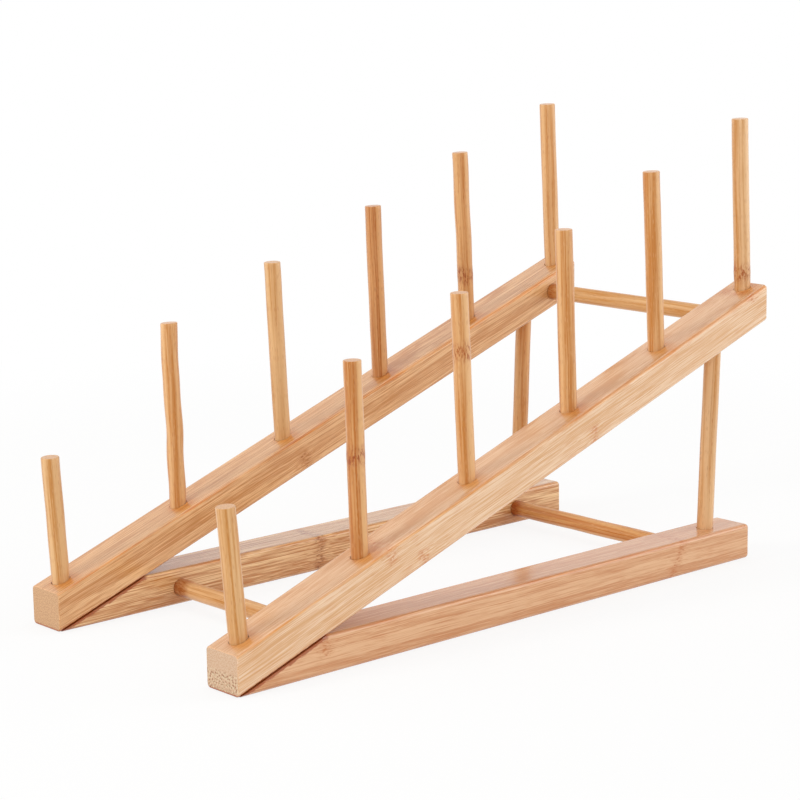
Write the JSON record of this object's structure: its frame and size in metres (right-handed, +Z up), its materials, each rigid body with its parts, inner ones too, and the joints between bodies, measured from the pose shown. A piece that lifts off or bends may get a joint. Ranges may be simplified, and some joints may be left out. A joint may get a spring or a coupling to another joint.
{
  "type": "cup drying rack",
  "caption": "Stepped bamboo drying rack: wedge-shaped side frames of two rails each, joined by round bars, carry rows of upright pegs that hold cups, lids and plates on edge.",
  "frame": {"origin": "on the table, under the middle of the rack's box", "axes": "+X to the high rear end, +Y to the left seen from the front, +Z up"},
  "size_m": [0.3376, 0.1562, 0.2221],
  "materials": {
    "bamboo_rail": "satin varnish",
    "bamboo_dowel": "satin varnish",
    "screw_steel": "zinc plated"
  },
  "bodies": {
    "root": {"base_rail_left": "bamboo_rail", "base_rail_right": "bamboo_rail", "sloped_rail_left": "bamboo_rail", "sloped_rail_right": "bamboo_rail", "rear_post_left": "bamboo_dowel", "rear_post_right": "bamboo_dowel", "front_crossbar": "bamboo_dowel", "rear_crossbar": "bamboo_dowel", "top_crossbar": "bamboo_dowel", "peg_left_1": "bamboo_dowel", "peg_left_2": "bamboo_dowel", "peg_left_3": "bamboo_dowel", "peg_left_4": "bamboo_dowel", "peg_left_5": "bamboo_dowel", "peg_left_6": "bamboo_dowel", "peg_right_1": "bamboo_dowel", "peg_right_2": "bamboo_dowel", "peg_right_3": "bamboo_dowel", "peg_right_4": "bamboo_dowel", "peg_right_5": "bamboo_dowel", "peg_right_6": "bamboo_dowel", "joint_screws": "screw_steel"}
  },
  "joints": []
}
